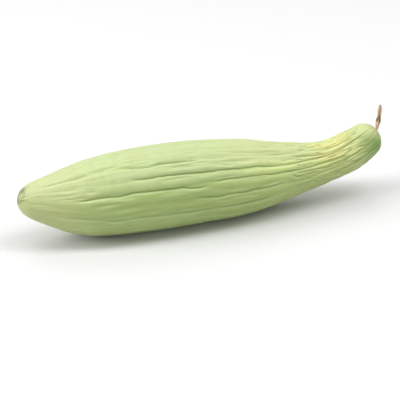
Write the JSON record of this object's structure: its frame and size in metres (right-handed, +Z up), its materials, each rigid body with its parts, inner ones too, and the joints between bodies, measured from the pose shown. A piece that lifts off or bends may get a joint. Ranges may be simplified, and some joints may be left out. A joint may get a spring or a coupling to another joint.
{
  "type": "armenian cucumber",
  "caption": "Long pale green ribbed fruit, widest before the middle, with a narrow neck that bends up to a dried stem. It lies on its side.",
  "frame": {"origin": "on the flat spot that the fruit rests on, under its middle", "axes": "+X from the blossom end to the stem end, +Z up from the surface it lies on"},
  "size_m": [0.3325, 0.0728, 0.0779],
  "materials": {
    "skin": "pale green waxy skin, satin",
    "dry_stem": "dry tan and brown, matte"
  },
  "bodies": {
    "root": {"fruit": "skin", "stem": "dry_stem"}
  },
  "joints": []
}
